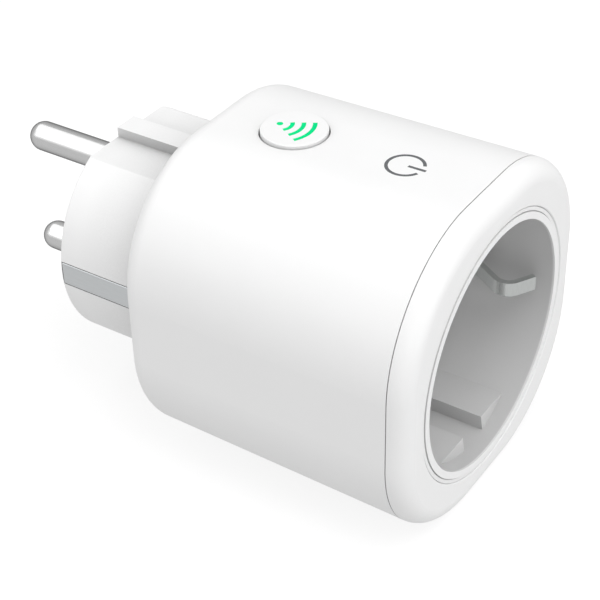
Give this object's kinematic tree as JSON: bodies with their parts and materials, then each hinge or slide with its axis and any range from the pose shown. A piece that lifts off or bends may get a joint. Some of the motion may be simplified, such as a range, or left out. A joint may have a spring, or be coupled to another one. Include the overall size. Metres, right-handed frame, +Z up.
{
  "type": "smart plug",
  "caption": "White plug-through smart plug: earthed two-pin plug at the back, recessed earthed socket at the front, lit push button on top, relay and radio inside.",
  "frame": {"origin": "centre of the plug's engagement face, midway between the two power pins", "axes": "+X runs from the pins to the socket opening, +Z is up towards the button side, +Y is left when facing the socket's travel direction +X"},
  "size_m": [0.0836, 0.0502, 0.0505],
  "materials": {
    "housing_white": "satin white moulded shell",
    "panel_white": "satin white moulded front panel",
    "insert_white": "satin off-white moulded socket insert",
    "neck_white": "satin white moulded plug neck",
    "print_grey": "matt grey printed ink",
    "nickel": "bright nickel plating",
    "spring_steel": "satin plated spring steel",
    "clip_steel": "bright plated spring steel",
    "brass": "bare stamped brass",
    "cap_white": "gloss white push button",
    "guide_green": "translucent light guide lit green",
    "switch_black": "matt black",
    "board_green": "green solder mask",
    "relay_blue": "blue moulded case",
    "film_yellow": "yellow moulded case",
    "can_sleeve": "dark shrink sleeve",
    "ferrite": "dark grey ferrite",
    "copper": "enamelled copper wire",
    "varistor_blue": "blue epoxy coat",
    "ceramic": "pale ceramic",
    "radio_blue": "dark blue solder mask",
    "shield_tin": "tin-plated sheet",
    "carrier_ivory": "ivory heat-resistant plastic",
    "shutter_white": "matt white acetal",
    "screw_steel": "zinc-plated steel",
    "led_clear": "clear lens"
  },
  "bodies": {
    "housing": {"body_shell": "housing_white", "front_bezel": "panel_white", "socket_insert": "insert_white", "plug_base": "neck_white", "printed_mark": "print_grey", "plug_pin_upper": "nickel", "plug_pin_lower": "nickel", "earth_strap_left": "spring_steel", "earth_strap_right": "spring_steel", "earth_link": "spring_steel", "switch_body": "switch_black", "switch_cover": "shield_tin", "status_led": "led_clear", "button_board": "board_green", "button_board_screws": "screw_steel", "main_board": "board_green", "main_board_screws": "screw_steel", "board_headers": "switch_black", "relay": "relay_blue", "film_capacitor": "film_yellow", "electrolytic_capacitors": "can_sleeve", "choke_core": "ferrite", "choke_winding": "copper", "varistor": "varistor_blue", "fuse": "ceramic", "rectifier": "switch_black", "power_chip": "switch_black", "radio_board": "radio_blue", "radio_shield": "shield_tin", "radio_antenna": "copper", "contact_sleeve_upper": "brass", "contact_sleeve_lower": "brass", "contact_straps": "brass", "contact_carrier": "carrier_ivory", "carrier_screws": "screw_steel", "shutter_spring": "spring_steel"},
    "button": {"button_cap": "cap_white", "light_guide": "guide_green", "switch_plunger": "switch_black"},
    "shutter": {"safety_shutter": "shutter_white"},
    "clip_left": {"earth_clip_left": "clip_steel"},
    "clip_right": {"earth_clip_right": "clip_steel"}
  },
  "joints": [
    {"name": "button_press", "type": "slide", "parent": "housing", "child": "button", "axis": [0, 0, -1], "range_m": [0, 0.0004], "stiffness_N_per_m": 1500},
    {"name": "shutter_turn", "type": "hinge", "parent": "housing", "child": "shutter", "pos_m": [0.0434, 0, 0], "axis": [1, 0, 0], "range_deg": [0, 45], "stiffness_Nm_per_rad": 0.004, "deforming": ["shutter_spring"]},
    {"name": "clip_left_flex", "type": "hinge", "parent": "housing", "child": "clip_left", "pos_m": [0.0435, 0.01775, 0], "axis": [0, 0, 1], "range_deg": [0, 4], "stiffness_Nm_per_rad": 0.3},
    {"name": "clip_right_flex", "type": "hinge", "parent": "housing", "child": "clip_right", "pos_m": [0.0435, -0.01775, 0], "axis": [0, 0, -1], "range_deg": [0, 4], "stiffness_Nm_per_rad": 0.3}
  ]
}
